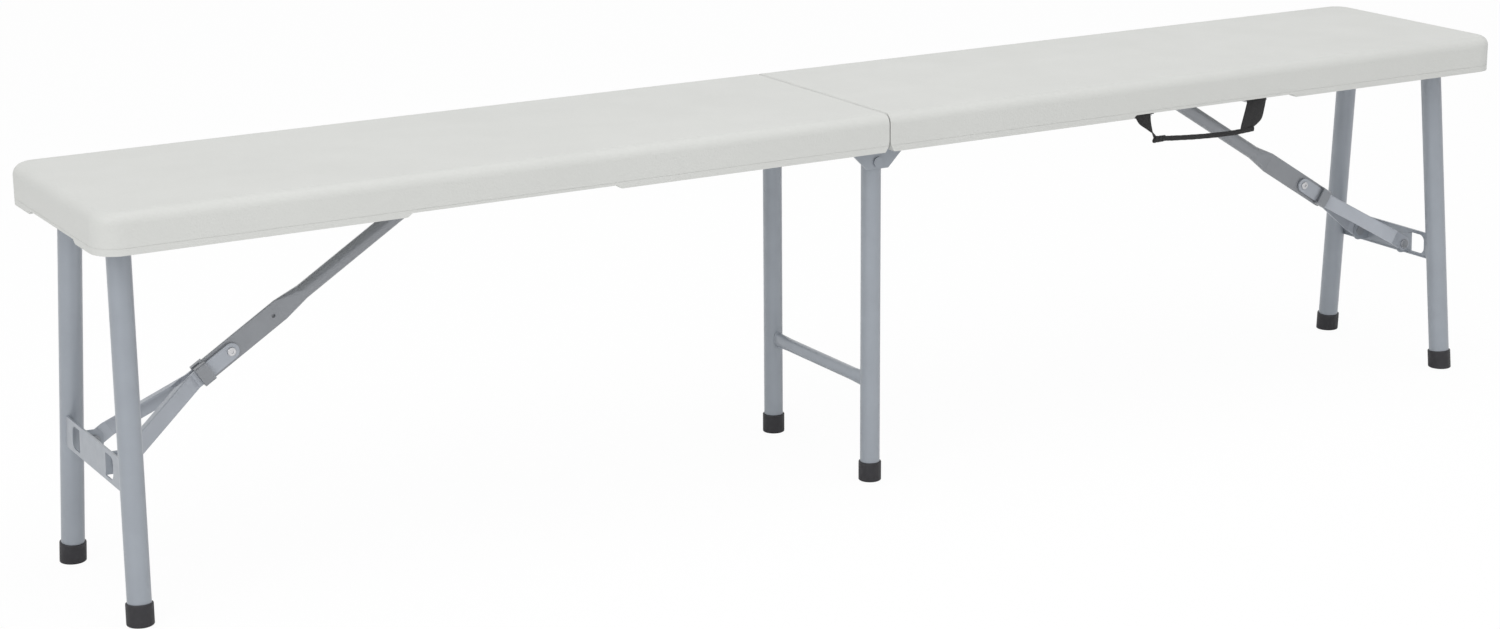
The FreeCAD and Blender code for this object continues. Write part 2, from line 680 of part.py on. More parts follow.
def pivot_tube():
    half = RAIL_INNER_Y - PIVOT_TUBE_GAP
    return tube(V(PIVOT.x, -half, PIVOT.z), V(PIVOT.x, half, PIVOT.z), PIVOT_TUBE_R, LEG_WALL)


def pivot_bush():
    """The rear bush inside the pivot tube, which turns on the leg's pin."""
    end = RAIL_INNER_Y - PIVOT_TUBE_GAP
    y_range = (end - PIVOT_BUSH_LENGTH, end)
    bush = cross_rod(PIVOT.x, PIVOT.z, y_range, PIVOT_TUBE_R - LEG_WALL - FIXED_FIT)
    return bush.cut(cross_rod(PIVOT.x, PIVOT.z, y_range, PIVOT_PIN_R + RUNNING_FIT))


def end_foot_caps():
    caps = []
    for side in (-1, 1):
        foot, top = leg_line(side)
        foot = turned(foot, PIVOT, -LEG_LEAN)
        caps.append(foot_cap(foot, turned(top, PIVOT, -LEG_LEAN) - foot, LEG_R))
    return caps


def plate_z(drop):
    """The height of a point of the cross plate, before the legs are leaned."""
    return PIVOT.z - PLATE_DROP + drop


def cross_plate_tab():
    """The rear tab, which is the metal of its slot bent inwards."""
    half = SLOT_HEIGHT / 2 - CURVE_GAP
    inner_x = PIVOT.x + PLATE_INNER - TAB_LENGTH
    tab = box((inner_x, PIVOT.x + PLATE_FACE), (TAB_INNER_Y, TAB_OUTER_Y), (plate_z(-half), plate_z(half)))
    corners = [edge for edge in tab.Edges
               if edge.BoundBox.YLength > PLATE_THICKNESS - NEAR and edge.BoundBox.XMax < inner_x + NEAR]
    return tab.makeFillet(SLOT_CORNER_R - CURVE_GAP, corners)


def cross_plate_slot():
    """The rear slot: straight where its tab is bent in, with round corners at its outer end."""
    half = SLOT_HEIGHT / 2
    x_range = (PIVOT.x + PLATE_FACE - TAB_LENGTH, PIVOT.x + PLATE_FACE + PAST)
    slot = box(x_range, (SLOT_INNER_Y, SLOT_OUTER_Y), (plate_z(-half), plate_z(half)))
    corners = [edge for edge in slot.Edges
               if edge.BoundBox.XLength > TAB_LENGTH and edge.BoundBox.YMin > SLOT_OUTER_Y - NEAR]
    return slot.makeFillet(SLOT_CORNER_R, corners)


def cross_plate():
    """The stamped plate between the end legs, with its flanges, slots and tabs."""
    x_face = PIVOT.x + PLATE_FACE
    across = (-FOOT_Y, FOOT_Y)
    half = PLATE_HEIGHT / 2
    plate = box((PIVOT.x + PLATE_INNER, x_face), across, (plate_z(-half), plate_z(half)))
    flange_x = (x_face - PLATE_FLANGE, x_face)
    upper = box(flange_x, across, (plate_z(half - PLATE_THICKNESS), plate_z(half)))
    lower = box(flange_x, across, (plate_z(-half), plate_z(-half + PLATE_THICKNESS)))
    plate = plate.fuse([upper, lower])
    plate = bored(plate, both_sides(cross_plate_slot()) + [leg_rod(side, LEG_R, 0, 0) for side in (-1, 1)])
    plate = max(plate.Solids, key=lambda solid: solid.Volume)
    plate = plate.fuse(both_sides(cross_plate_tab())).removeSplitter()
    return bored(leaned(plate), both_sides(foot_rivet_shank(ARM_RIVET_R + FIXED_FIT)))


def foot_rivet_shank(radius):
    """The rear rivet of the lower arm, through the tab and the arm's strap."""
    strap_outer = FOOT_STRAP_Y + ARM_STRAP_THICKNESS
    return cross_rod(BRACE_FOOT.x, BRACE_FOOT.z, (TAB_INNER_Y, strap_outer + CURVE_GAP), radius)


def foot_rivet():
    """The rear foot rivet, with a flat head inside the tab and a domed one outside the strap."""
    strap_outer = FOOT_STRAP_Y + ARM_STRAP_THICKNESS + CURVE_GAP
    flat_head = cross_rod(BRACE_FOOT.x, BRACE_FOOT.z, (TAB_INNER_Y - ARM_RIVET_HEAD_THICKNESS, TAB_INNER_Y),
                          ARM_RIVET_HEAD_R)
    dome = cross_rod(BRACE_FOOT.x, BRACE_FOOT.z, (strap_outer, strap_outer + ARM_RIVET_HEAD_THICKNESS),
                     ARM_RIVET_HEAD_R)
    rim = [edge for edge in dome.Edges if edge.BoundBox.YMin > strap_outer + ARM_RIVET_HEAD_THICKNESS / 2]
    dome = dome.makeFillet(ARM_RIVET_DOME_R, rim)
    return foot_rivet_shank(ARM_RIVET_R).fuse([flat_head, dome]).removeSplitter()


# Brace: drawn along +X from its top pin, then turned down to its foot

def placed_on_brace(shape):
    """Carries a shape drawn from the origin along +X to its place on the brace."""
    placement = FreeCAD.Placement(BRACE_TOP, FreeCAD.Rotation(Y_AXIS, BRACE_ANGLE))
    return shape.transformGeometry(placement.toMatrix())


def tail_section(x, half_y, half_z, corner):
    """A rounded rectangle across the arm, made of four lines and four arcs."""
    bend = corner * (1 - math.sqrt(0.5))
    edges = []
    for dy, dz in ((1, 1), (-1, 1), (-1, -1), (1, -1)):
        y = -dy * half_y
        z = -dz * half_z
        on_side = V(x, y, z + dz * corner)
        on_flat = V(x, y + dy * corner, z)
        middle = V(x, y + dy * bend, z + dz * bend)
        ends = (on_side, on_flat) if dy == dz else (on_flat, on_side)
        edges.append((ends, Part.Arc(ends[0], middle, ends[1]).toShape()))
    joined = []
    for number, (ends, arc) in enumerate(edges):
        following = edges[(number + 1) % len(edges)][0]
        joined += [arc, Part.makeLine(ends[1], following[0])]
    return Part.Wire(joined)


def upper_arm():
    """The round tube from the top pin, pressed flat where it passes between the lower straps."""
    flare_start = UPPER_ARM - TAIL_FLAT - TAIL_FLARE
    flat_start = UPPER_ARM - TAIL_FLAT
    round_end = cross_rod(0, 0, (-UPPER_ARM_R, UPPER_ARM_R), UPPER_ARM_R)
    square_end = box((-2 * UPPER_ARM_R, 0), (-2 * UPPER_ARM_R, 2 * UPPER_ARM_R),
                     (-2 * UPPER_ARM_R, 2 * UPPER_ARM_R))
    pipe = tube(V(-UPPER_ARM_R, 0, 0), V(flare_start, 0, 0), UPPER_ARM_R, UPPER_ARM_WALL)
    pipe = pipe.cut(square_end.cut(round_end))
    almost_round = UPPER_ARM_R - EAR_CLEARANCE
    tail_wire = tail_section(flat_start, TAIL_HALF, TAIL_HALF_WIDTH, TAIL_CORNER_R)
    flare = Part.makeLoft([tail_section(flare_start, UPPER_ARM_R, UPPER_ARM_R, almost_round), tail_wire], True, True)
    reach = UPPER_ARM + TAIL_END_R + PAST
    tail = Part.Face(tail_wire).extrude(V(reach - flat_start, 0, 0))
    tip = box((UPPER_ARM, reach + PAST), (-UPPER_ARM_R, UPPER_ARM_R), (-2 * TAIL_END_R, 2 * TAIL_END_R))
    tip = tip.cut(cross_rod(UPPER_ARM, 0, (-UPPER_ARM_R, UPPER_ARM_R), TAIL_END_R))
    arm = pipe.fuse([flare, tail.cut(tip)])
    across = (-2 * UPPER_ARM_R, 2 * UPPER_ARM_R)
    holes = [cross_rod(0, 0, across, BRACE_PIN_R + RUNNING_FIT),
             cross_rod(UPPER_ARM, 0, across, TAIL_HOLE_R),
             cross_rod(UPPER_ARM - TAIL_EYE_FROM_KNEE, 0, (TAIL_EYE_SKIN - TAIL_HALF, across[1]), TAIL_EYE_R)]
    return placed_on_brace(bored(arm, holes).removeSplitter())


def strap_path():
    """Where the rear strap's inner face runs: distance from the knee, and distance from the middle."""
    return [(-ARM_STRAP_HALF, STRAP_INNER_Y),
            (ARM_FORK_START, STRAP_INNER_Y),
            (LOWER_ARM - ARM_FOOT_FLAT, FOOT_STRAP_Y),
            (LOWER_ARM + ARM_STRAP_HALF, FOOT_STRAP_Y)]


def strap_inner_y(distance):
    """How far from the middle the rear strap's inner face is, at a distance from the knee along its slant."""
    slant = (FOOT_STRAP_Y - STRAP_INNER_Y) / (LOWER_ARM - ARM_FOOT_FLAT - ARM_FORK_START)
    return STRAP_INNER_Y + slant * (distance - ARM_FORK_START)


def arm_flange():
    """The flange that is turned inwards along the upper edge of the rear strap's slant."""
    start = ARM_FLANGE_START
    end = LOWER_ARM - ARM_FLANGE_FROM_FOOT
    inner = [(start, 0), (start + ARM_FLANGE_TAPER, ARM_FLANGE_WIDTH),
             (end - ARM_FLANGE_TAPER, ARM_FLANGE_WIDTH), (end, 0)]
    outer = [(end, -ARM_STRAP_THICKNESS), (start, -ARM_STRAP_THICKNESS)]
    corners = [V(UPPER_ARM + s, strap_inner_y(s) - width, ARM_STRAP_HALF - ARM_STRAP_THICKNESS)
               for s, width in inner + outer]
    outline = Part.makePolygon(corners + corners[:1])
    return Part.Face(outline).extrude(V(0, 0, ARM_STRAP_THICKNESS))


def with_flange(strap):
    """The strap with its flange, rounded over the bend between the two."""
    strap = strap.fuse(arm_flange()).removeSplitter()
    bend = [edge for edge in strap.Edges
            if edge.BoundBox.ZMin > ARM_STRAP_HALF - NEAR
            and edge.BoundBox.XLength > LOWER_ARM - ARM_FOOT_FLAT - ARM_FORK_START - NEAR]
    return strap.makeFillet(ARM_FLANGE_BEND_R, bend)


def lower_arm():
    """The rear strap of the lower arm: flat at the knee, flat at the foot, slanted and flanged between."""
    inner = strap_path()
    outer = [(s, y + ARM_STRAP_THICKNESS) for s, y in reversed(inner)]
    corners = [V(UPPER_ARM + s, y, -ARM_STRAP_HALF) for s, y in inner + outer]
    strap = Part.Face(Part.makePolygon(corners + corners[:1])).extrude(V(0, 0, 2 * ARM_STRAP_HALF))
    across = (0, 2 * FOOT_STRAP_Y)
    knee = cross_rod(UPPER_ARM, 0, across, ARM_STRAP_HALF)
    foot = cross_rod(UPPER_ARM + LOWER_ARM, 0, across, ARM_STRAP_HALF)
    middle = box((UPPER_ARM, UPPER_ARM + LOWER_ARM), across, (-ARM_STRAP_HALF, ARM_STRAP_HALF))
    strap = with_flange(strap.common(knee.fuse([middle, foot]).removeSplitter()))
    holes = [cross_rod(UPPER_ARM, 0, across, KNEE_SHANK_R + FIXED_FIT),
             cross_rod(UPPER_ARM + LOWER_ARM, 0, across, ARM_RIVET_R + RUNNING_FIT)]
    return placed_on_brace(bored(strap, holes))


def knee_rivet():
    """The rear half of the knee rivet, which stays clear of the tail between the straps."""
    strap_outer = STRAP_INNER_Y + ARM_STRAP_THICKNESS
    shank = cross_rod(UPPER_ARM, 0, (STRAP_INNER_Y, strap_outer), KNEE_SHANK_R)
    head = cross_rod(UPPER_ARM, 0, (strap_outer, strap_outer + KNEE_HEAD_THICKNESS), KNEE_HEAD_R)
    rim = [edge for edge in head.Edges if edge.BoundBox.YMin > strap_outer + KNEE_HEAD_THICKNESS / 2]
    head = head.makeFillet(KNEE_HEAD_EDGE_R, rim)
    top = strap_outer + KNEE_HEAD_THICKNESS
    eye = cross_rod(UPPER_ARM, 0, (top - KNEE_EYE_DEPTH, top + PAST), KNEE_EYE_R)
    return placed_on_brace(shank.fuse(head).removeSplitter().cut(eye))


def lock_ring_half():
    """The rear half of the lock ring: a pressed channel round the strap, open in the middle."""
    x_range = (UPPER_ARM + RING_START, UPPER_ARM + RING_START + RING_LENGTH)
    inner_z = ARM_STRAP_HALF + CURVE_GAP
    outer_z = inner_z + RING_LID
    outer_y = RING_SIDE_INNER + RING_SIDE_WALL
    slot_half = STRAP_INNER_Y + CURVE_GAP
    shell = box(x_range, (slot_half, outer_y), (-outer_z, outer_z))
    corners = [edge for edge in shell.Edges
               if edge.BoundBox.XLength > RING_LENGTH - NEAR and edge.BoundBox.YMin > outer_y - NEAR]
    shell = shell.makeFillet(RING_CORNER_R, corners)
    room = box((x_range[0] - PAST, x_range[1] + PAST), (0, RING_SIDE_INNER), (-inner_z, inner_z))
    return placed_on_brace(shell.cut(room))


# Handle

HANDLE_AXIS_Y = -(SKIRT_INNER_Y + HANDLE_OUT)
HANDLE_AXIS_Z = RAIL_BOTTOM - HANDLE_STRAP_R
HANDLE_END = HANDLE_START + HANDLE_SPAN
WRAP_X = (HANDLE_START + HANDLE_WRAP_START, HANDLE_START + HANDLE_WRAP_START + HANDLE_WRAP_LENGTH)
WRAP_Z = HANDLE_AXIS_Z - HANDLE_WRAP_DROP
GRIP_END_X = HANDLE_END - HANDLE_STRAP_WIDTH


def handle_anchor_x():
    half = HANDLE_STRAP_WIDTH / 2
    return [HANDLE_START + half, HANDLE_END - half]


def handle_strap(top_x, low_x):
    """A hanging strap: rolled round the swing axis at its top, and flat below it."""
    y_range = (HANDLE_AXIS_Y - HANDLE_STRAP_R, HANDLE_AXIS_Y + HANDLE_STRAP_R)
    outline = [(top_x[0], HANDLE_AXIS_Z), (top_x[1], HANDLE_AXIS_Z)] + low_x
    flat = plate_y(outline, y_range)
    roll = rod(V(top_x[0], HANDLE_AXIS_Y, HANDLE_AXIS_Z), V(top_x[1], HANDLE_AXIS_Y, HANDLE_AXIS_Z), HANDLE_STRAP_R)
    return flat.fuse(roll).removeSplitter()


def handle_strap_left():
    top_x = (HANDLE_START, HANDLE_START + HANDLE_STRAP_WIDTH)
    low = [(WRAP_X[0], WRAP_Z + HANDLE_WRAP_R), (WRAP_X[0], WRAP_Z - HANDLE_WRAP_R)]
    return handle_strap(top_x, low)


def handle_strap_right():
    top_x = (HANDLE_END - HANDLE_STRAP_WIDTH, HANDLE_END)
    low = [(GRIP_END_X + HANDLE_FOLD_WIDTH, WRAP_Z),
           (GRIP_END_X, WRAP_Z - HANDLE_GRIP_SAG - HANDLE_GRIP_R),
           (GRIP_END_X, WRAP_Z - HANDLE_GRIP_SAG + HANDLE_GRIP_R)]
    return handle_strap(top_x, low)


def handle_wrap():
    """The turns of webbing round the left end of the grip."""
    return rod(V(WRAP_X[0], HANDLE_AXIS_Y, WRAP_Z), V(WRAP_X[1], HANDLE_AXIS_Y, WRAP_Z), HANDLE_WRAP_R)


def handle_grip():
    """The rolled webbing of the grip, a little lower at its right end."""
    start = V(WRAP_X[1], HANDLE_AXIS_Y, WRAP_Z)
    end = V(GRIP_END_X, HANDLE_AXIS_Y, WRAP_Z - HANDLE_GRIP_SAG)
    along = (end - start).normalize() * HANDLE_GRIP_R
    grip = rod(start - along, end + along, HANDLE_GRIP_R)
    return grip.common(box((WRAP_X[1], GRIP_END_X), (-SEAT_WIDTH, 0), (0, SEAT_HEIGHT)))


def webbing_ends():
    """The two ends of the webbing, held flat between the rail and the anchor plates."""
    half = HANDLE_STRAP_WIDTH / 2
    y_range = (HANDLE_AXIS_Y + HANDLE_STRAP_R + CURVE_GAP, -RAIL_INNER_Y)
    ends = [box((x - half, x + half), y_range, (RAIL_BOTTOM - 2 * HANDLE_STRAP_R, RAIL_BOTTOM))
            for x in handle_anchor_x()]
    return [bored(end, anchor_screw_shanks(ANCHOR_SCREW_R + FIXED_FIT)) for end in ends]


def anchor_plates():
    half = HANDLE_STRAP_WIDTH / 2 + ANCHOR_OVERHANG
    top = RAIL_BOTTOM - 2 * HANDLE_STRAP_R
    plates = [box((x - half, x + half), (-RAIL_OUTER_Y, -RAIL_INNER_Y), (top - ANCHOR_THICKNESS, top))
              for x in handle_anchor_x()]
    return [bored(plate, anchor_screw_shanks(ANCHOR_SCREW_R + FIXED_FIT)) for plate in plates]


def anchor_screw_places():
    quarter = HANDLE_STRAP_WIDTH / 4
    y = -(RAIL_INNER_Y + RAIL_OUTER_Y) / 2
    z = RAIL_BOTTOM - 2 * HANDLE_STRAP_R - ANCHOR_THICKNESS
    return [V(x + side * quarter, y, z) for x in handle_anchor_x() for side in (-1, 1)]


def anchor_screw_shanks(radius):
    reach = V(0, 0, ANCHOR_THICKNESS + 2 * HANDLE_STRAP_R + RAIL_WALL + SCREW_GRIP)
    return [rod(place, place + reach, radius) for place in anchor_screw_places()]


def anchor_screws():
    screws = []
    for place, shank in zip(anchor_screw_places(), anchor_screw_shanks(ANCHOR_SCREW_R)):
        head = rod(place - V(0, 0, ANCHOR_HEAD_THICKNESS), place, ANCHOR_HEAD_R)
        screws.append(shank.fuse(head).removeSplitter())
    return screws


def half_pieces():
    """The pieces under one half of the bench, drawn on the right, with the handle left out."""
    rail = side_rail()
    return {
        "seat": [seat_half()],
        "rail_rear": [rail],
        "rail_front": [front_of(rail)],
        "frame_screws": frame_screws(),
        "leg_pivot_pins": both_sides(leg_pivot_pin()),
        "brace_bracket": [brace_bracket()],
        "brace_top_pin": [brace_top_pin()],
        "leg_rear": [end_leg(1)],
        "leg_front": [end_leg(-1)],
        "leg_pivot_tube": [pivot_tube()],
        "leg_pivot_bushes": both_sides(pivot_bush()),
        "cross_plate": [cross_plate()],
        "foot_caps": end_foot_caps(),
        "arm_foot_rivets": both_sides(foot_rivet()),
        "upper_arm": [upper_arm()],
        "lower_arm_rear": [lower_arm()],
        "lower_arm_front": [front_of(lower_arm())],
        "knee_rivet": both_sides(knee_rivet()),
        "lock_ring": both_sides(lock_ring_half()),
    }


def centre_pieces():
    leg = centre_leg()
    bracket = centre_bracket()
    return {
        "centre_leg_rear": [leg],
        "centre_leg_front": [front_of(leg)],
        "centre_bracket_rear": [bracket],
        "centre_bracket_front": [front_of(bracket)],
        "centre_bracket_rivets": bracket_rivets(),
        "centre_stretcher": [centre_stretcher()],
        "centre_hinge_pins": four_corners(hinge_pin()),
        "centre_hinge_washers": four_corners(hinge_washer()),
        "centre_foot_caps": centre_foot_caps(),
    }


def handle_pieces():
    return {
        "handle_strap_left": [handle_strap_left()],
        "handle_strap_right": [handle_strap_right()],
        "handle_wrap": [handle_wrap()],
        "handle_grip": [handle_grip()],
        "handle_webbing_ends": webbing_ends(),
        "handle_anchor_plates": anchor_plates(),
        "handle_anchor_screws": anchor_screws(),
    }


def all_pieces():
    """Every piece by name. The left arm is the right one turned round, so that its eye faces the front."""
    pieces = centre_pieces()
    for name, shapes in half_pieces().items():
        right_shapes = shapes
        if name == "rail_front":
            right_shapes = [bored(shapes[0], anchor_screw_shanks(ANCHOR_SCREW_R + FIXED_FIT))]
        pieces["right_" + name] = right_shapes
        left_shapes = [left_of(shape) for shape in shapes]
        if name == "upper_arm":
            left_shapes = [front_of(left_shapes[0])]
        pieces["left_" + name] = left_shapes
    pieces.update(handle_pieces())
    return pieces


def main():
    os.makedirs("parts", exist_ok=True)
    for name, shapes in all_pieces().items():
        shape = shapes[0] if len(shapes) == 1 else Part.makeCompound(shapes)
        shape.exportStep("parts/" + name + ".step")
        print(name, len(shape.Solids), round(shape.Volume), shape.isValid())


main()
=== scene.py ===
import json
import math

import bmesh
import bpy
from mathutils import Matrix, Vector


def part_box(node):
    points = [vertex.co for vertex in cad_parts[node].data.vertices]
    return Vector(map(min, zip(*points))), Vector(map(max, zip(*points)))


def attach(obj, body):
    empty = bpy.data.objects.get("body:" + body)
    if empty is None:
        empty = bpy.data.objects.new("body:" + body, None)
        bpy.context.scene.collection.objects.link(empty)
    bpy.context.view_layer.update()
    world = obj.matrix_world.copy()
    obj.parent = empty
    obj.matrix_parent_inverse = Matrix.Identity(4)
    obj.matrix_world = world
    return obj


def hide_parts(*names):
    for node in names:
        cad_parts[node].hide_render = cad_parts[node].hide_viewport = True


# Folding bench: materials, webbing handle, weld beads, light and camera. Metres.

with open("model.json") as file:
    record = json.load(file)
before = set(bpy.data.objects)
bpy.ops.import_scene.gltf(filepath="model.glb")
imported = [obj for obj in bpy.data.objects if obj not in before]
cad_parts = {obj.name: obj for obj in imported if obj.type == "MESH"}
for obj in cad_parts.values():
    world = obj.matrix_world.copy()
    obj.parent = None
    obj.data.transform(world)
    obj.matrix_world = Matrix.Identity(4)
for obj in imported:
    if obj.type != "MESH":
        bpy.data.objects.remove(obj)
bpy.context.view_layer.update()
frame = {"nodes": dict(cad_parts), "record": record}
nodes = frame["nodes"]

# Camera, as the photograph was taken
CAMERA_PLACE = Vector((-1.7627, -2.8560, 1.0999))
CAMERA_YAW = math.radians(29.79)
CAMERA_PITCH = math.radians(15.53)
CAMERA_ROLL = math.radians(-0.56)
PHOTO_WIDTH = 1500
PHOTO_HEIGHT = 629
FOCAL_PIXELS = 2944.6
CENTRE_PIXEL = (726.6, 320.1)
SENSOR_WIDTH = 36.0

# Colours as they look in the photograph, 0 to 255
SEAT_COLOUR = (205, 206, 203)
FRAME_COLOUR = (150, 156, 164)
# The brace tubes are the same steel as the frame, given a darker colour as painted shade from the seat
# above them
BRACE_TUBE_SHADED_COLOUR = (140, 143, 148)
# The brace straps are the same steel as the brace tubes, given a lighter colour as painted light
BRACE_STRAP_LIT_COLOUR = (168, 173, 181)
ZINC_COLOUR = (206, 206, 208)
CAP_COLOUR = (36, 35, 39)
BUSH_COLOUR = (40, 40, 42)
WEBBING_COLOUR = (15, 14, 16)
FLOOR_COLOUR = (250, 250, 250)

# Powder coat
COAT_METALLIC = 0.25
COAT_GLOSS = 0.5

# Webbing
WEBBING_THICKNESS = 0.0015
WEBBING_RIB = 0.0011
BAND_RIM = 0.96
BAND_SHOULDER = 0.3
BAND_CROWN = 1.06
BAND_STEPS = 6
ANCHOR_SHARES = (0, 0.3, 0.7, 1)

# Hanging straps: rows of drop, left edge and right edge, from the strap's outer top corner
LEFT_STRAP_ROWS = ((0, 0, 0.024), (0.008, 0.0045, 0.025), (0.013, 0.009, 0.026),
                   (0.020, 0.020, 0.0278), (0.025, 0.0275, 0.0293))
RIGHT_STRAP_ROWS = ((0, -0.029, 0), (0.013, -0.033, -0.002), (0.025, -0.037, -0.005),
                    (0.031, -0.039, -0.011), (0.0365, -0.040, -0.020))
STRAP_LEAN = 0.0005
TWIST_ALONG = 0.002
TWIST_RISE = 0.001
TWIST_HALF = (0.0008, 0.0022, -0.0028)

# Rolled grip: stations are share of its length, share of its fall and sag below that
GRIP_HALF_HEIGHT = 0.0031
GRIP_HALF_DEPTH = 0.0025
GRIP_STATIONS = ((0.12, 0.0, 0.0014), (0.45, 0.5, 0.0018), (0.8, 1.0, 0.0004))
GRIP_PAST_START = 0.005
GRIP_PAST_END = 0.006
GRIP_START_RISE = 0.0005
GRIP_END_RISE = 0.0012
GRIP_STEPS = 14
GRIP_POINTS = 24
CREASE_DEPTH = 0.2
CREASE_PLACE = -0.15
CREASE_SPREAD = 0.2
RIPPLES = ((0.03, 1.7), (0.02, 0.61))

# Bound turns round the grip's end
TURNS = 3
TURN_POINTS = 24
TURN_RADIUS_SHARE = 0.92
TURN_DEPTH_SHARE = 0.8
TURN_SLANT = 0.35
TURN_SHRINK = 0.06
TURN_PROFILE = ((-0.02, 0.72), (0.1, 0.9), (0.5, 1.0), (0.9, 0.9), (1.02, 0.72))
TURN_MIDDLE = 0.5

# Weld beads
BEAD_COUNT = 40
BEAD_POINTS = 8
BEAD_SWELL = 0.22
BEAD_BEAT = 2.4
BEAD_HALF_X = 0.0052
BEAD_THICKNESS = 0.0011
BEAD_SINK = 0.0006
MERGE_DISTANCE = 1e-6

# Light: name, place, size and watts of each lamp
LAMPS = (("left_key", (-3.4, -2.2, 2.6), 2.6, 60.0),
         ("top_fill", (0.4, -0.6, 3.4), 3.2, 44.0),
         ("front_fill", (1.6, -4.4, 1.4), 2.4, 8.0))
LAMP_AIM = Vector((0, 0, 0.3))
WORLD_LEVEL = 0.6

# Floor
FLOOR_RADIUS = 14.0
FLOOR_SEGMENTS = 64
FLOOR_DROP = 0.0004
FLOOR_ROUGHNESS = 0.9
FLOOR_GLOW_SHARE = 0.95

# The straps of the folding braces are the same steel as their tubes, given a lighter colour as painted
# light where they catch more of the lamps
STRAP_NODES = [node for node in nodes if "lower_arm" in node]


def linear(colour):
    """A 0 to 255 colour as the linear values that a shader takes."""
    shares = [value / 255 for value in colour]
    curved = [s / 12.92 if s <= 0.04045 else ((s + 0.055) / 1.055) ** 2.4 for s in shares]
    return (*curved, 1.0)


# Materials

class Paint:
    """A node material under construction."""

    def __init__(self, name, colour, roughness, metallic=0.0):
        self.material = bpy.data.materials.new(name)
        self.material.use_nodes = True
        self.tree = self.material.node_tree
        self.shader = self.tree.nodes["Principled BSDF"]
        self.shader.inputs["Base Color"].default_value = linear(colour)
        self.shader.inputs["Roughness"].default_value = roughness
        self.shader.inputs["Metallic"].default_value = metallic
        self.colour = linear(colour)
        self.place = self.add("ShaderNodeTexCoord").outputs["Object"]

    def add(self, kind, **values):
        node = self.tree.nodes.new(kind)
        for name, value in values.items():
            setattr(node, name, value)
        return node

    def join(self, output, socket):
        self.tree.links.new(output, socket)

    def noise(self, size, detail=2.0):
        """Noise whose features are about the size given."""
        texture = self.add("ShaderNodeTexNoise")
        texture.inputs["Scale"].default_value = 1 / size
        texture.inputs["Detail"].default_value = detail
        self.join(self.place, texture.inputs["Vector"])
        return texture.outputs["Fac"]

    def cells(self, size):
        texture = self.add("ShaderNodeTexVoronoi")
        texture.inputs["Scale"].default_value = 1 / size
        self.join(self.place, texture.inputs["Vector"])
        return texture.outputs["Distance"]

    def spread(self, source, low, high):
        """The source, which runs about its middle, spread between two values."""
        ramp = self.add("ShaderNodeMapRange")
        ramp.inputs["From Min"].default_value = 0.3
        ramp.inputs["From Max"].default_value = 0.7
        ramp.inputs["To Min"].default_value = low
        ramp.inputs["To Max"].default_value = high
        self.join(source, ramp.inputs["Value"])
        return ramp.outputs["Result"]

    def vary_colour(self, source, low, high):
        """The base colour, darker and lighter by the source."""
        scale = self.add("ShaderNodeVectorMath", operation="SCALE")
        scale.inputs[0].default_value = self.colour[:3]
        self.join(self.spread(source, low, high), scale.inputs["Scale"])
        self.join(scale.outputs["Vector"], self.shader.inputs["Base Color"])

    def vary_roughness(self, source, low, high):
        self.join(self.spread(source, low, high), self.shader.inputs["Roughness"])

    def bump(self, source, depth, strength):
        """A bump of the depth given, laid over any earlier one."""
        bump = self.add("ShaderNodeBump")
        bump.inputs["Distance"].default_value = depth
        bump.inputs["Strength"].default_value = strength
        self.join(source, bump.inputs["Height"])
        earlier = self.shader.inputs["Normal"].links
        if earlier:
            self.join(earlier[0].from_socket, bump.inputs["Normal"])
        self.join(bump.outputs["Normal"], self.shader.inputs["Normal"])


def seat_resin():
    """Moulded resin with a fine pebble grain, a little cloudy over its length."""
    paint = Paint("seat_resin_look", SEAT_COLOUR, roughness=0.5)
    paint.shader.inputs["Specular IOR Level"].default_value = 0.35
    paint.vary_colour(paint.noise(size=0.16, detail=3.0), low=0.985, high=1.012)
    paint.vary_roughness(paint.noise(size=0.05), low=0.46, high=0.56)
    paint.bump(paint.noise(size=0.35, detail=1.0), depth=0.0016, strength=0.5)
    paint.bump(paint.noise(size=0.0022, detail=3.0), depth=0.0005, strength=0.55)
    paint.bump(paint.cells(size=0.0028), depth=0.0003, strength=0.35)
    return paint.material


def powder_coat(name, colour):
    """Satin powder coat with a slight orange peel, under a clear coat that brightens its rims."""
    paint = Paint(name, colour, roughness=0.4, metallic=COAT_METALLIC)
    paint.shader.inputs["Coat Weight"].default_value = COAT_GLOSS
    paint.shader.inputs["Coat Roughness"].default_value = 0.28
    paint.vary_colour(paint.noise(size=0.03, detail=4.0), low=0.97, high=1.03)
    paint.vary_roughness(paint.noise(size=0.012, detail=3.0), low=0.34, high=0.46)
    paint.bump(paint.noise(size=0.004, detail=1.0), depth=0.00006, strength=0.4)
    return paint.material


def zinc():
    """Bright zinc with fine turning marks."""
    paint = Paint("zinc_look", ZINC_COLOUR, roughness=0.3, metallic=1.0)
    paint.vary_colour(paint.noise(size=0.004, detail=3.0), low=0.9, high=1.05)
    paint.vary_roughness(paint.noise(size=0.0015, detail=4.0), low=0.22, high=0.42)
    paint.bump(paint.noise(size=0.0007), depth=0.0001, strength=0.4)
    return paint.material


def moulded_rubber(name, colour, roughness):
    """Matt moulded rubber or plastic with an uneven, dusty surface."""
    paint = Paint(name, colour, roughness)
    paint.vary_colour(paint.noise(size=0.01, detail=4.0), low=0.88, high=1.18)
    paint.vary_roughness(paint.noise(size=0.006), low=roughness - 0.06, high=roughness + 0.08)
    paint.bump(paint.noise(size=0.0009), depth=0.00015, strength=0.5)
    return paint.material


